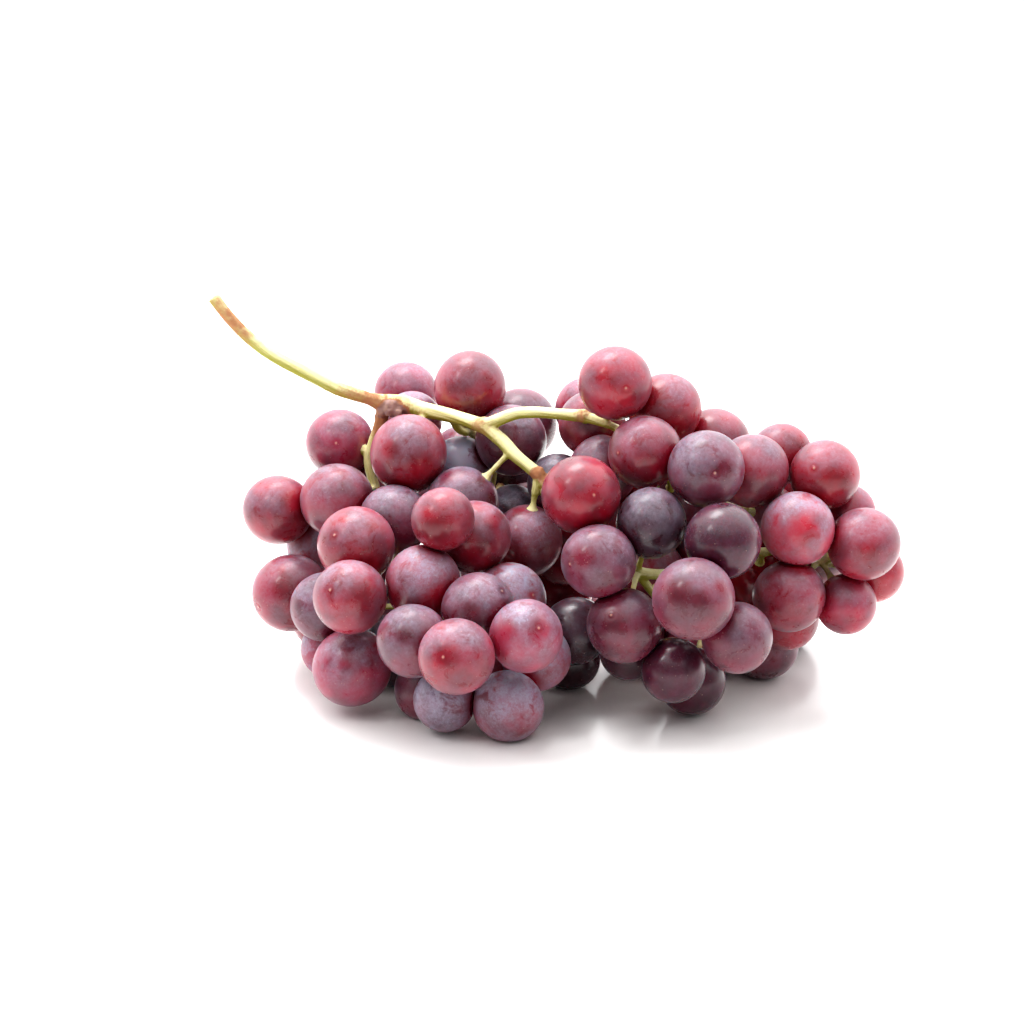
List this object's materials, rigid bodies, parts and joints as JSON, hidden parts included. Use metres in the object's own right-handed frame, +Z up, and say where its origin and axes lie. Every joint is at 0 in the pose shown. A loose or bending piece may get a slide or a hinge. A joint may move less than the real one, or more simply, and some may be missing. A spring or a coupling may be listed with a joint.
{
  "type": "bunch of red grapes",
  "caption": "Bunch of round red grapes lying on its side: clusters of bloom-dusted berries on one branched, yellow-green stalk with a bare curved end.",
  "frame": {"origin": "middle of the bunch's footprint, on the surface that it lies on", "axes": "+X along the bunch from the bare end of the stalk to the far cluster, +Y to the back of the bunch, +Z up from the surface"},
  "size_m": [0.1897, 0.1334, 0.1072],
  "materials": {
    "grape_stalk": "fresh green grape stem, waxy and slightly ridged, brown and corky at the nodes and at the cut end",
    "grape_skin": "smooth red grape skin under a pale waxy bloom, rubbed glossy in patches"
  },
  "bodies": {
    "root": {"stalk": "grape_stalk", "berries_left": "grape_skin", "berries_right": "grape_skin", "berries_back": "grape_skin"}
  },
  "joints": []
}
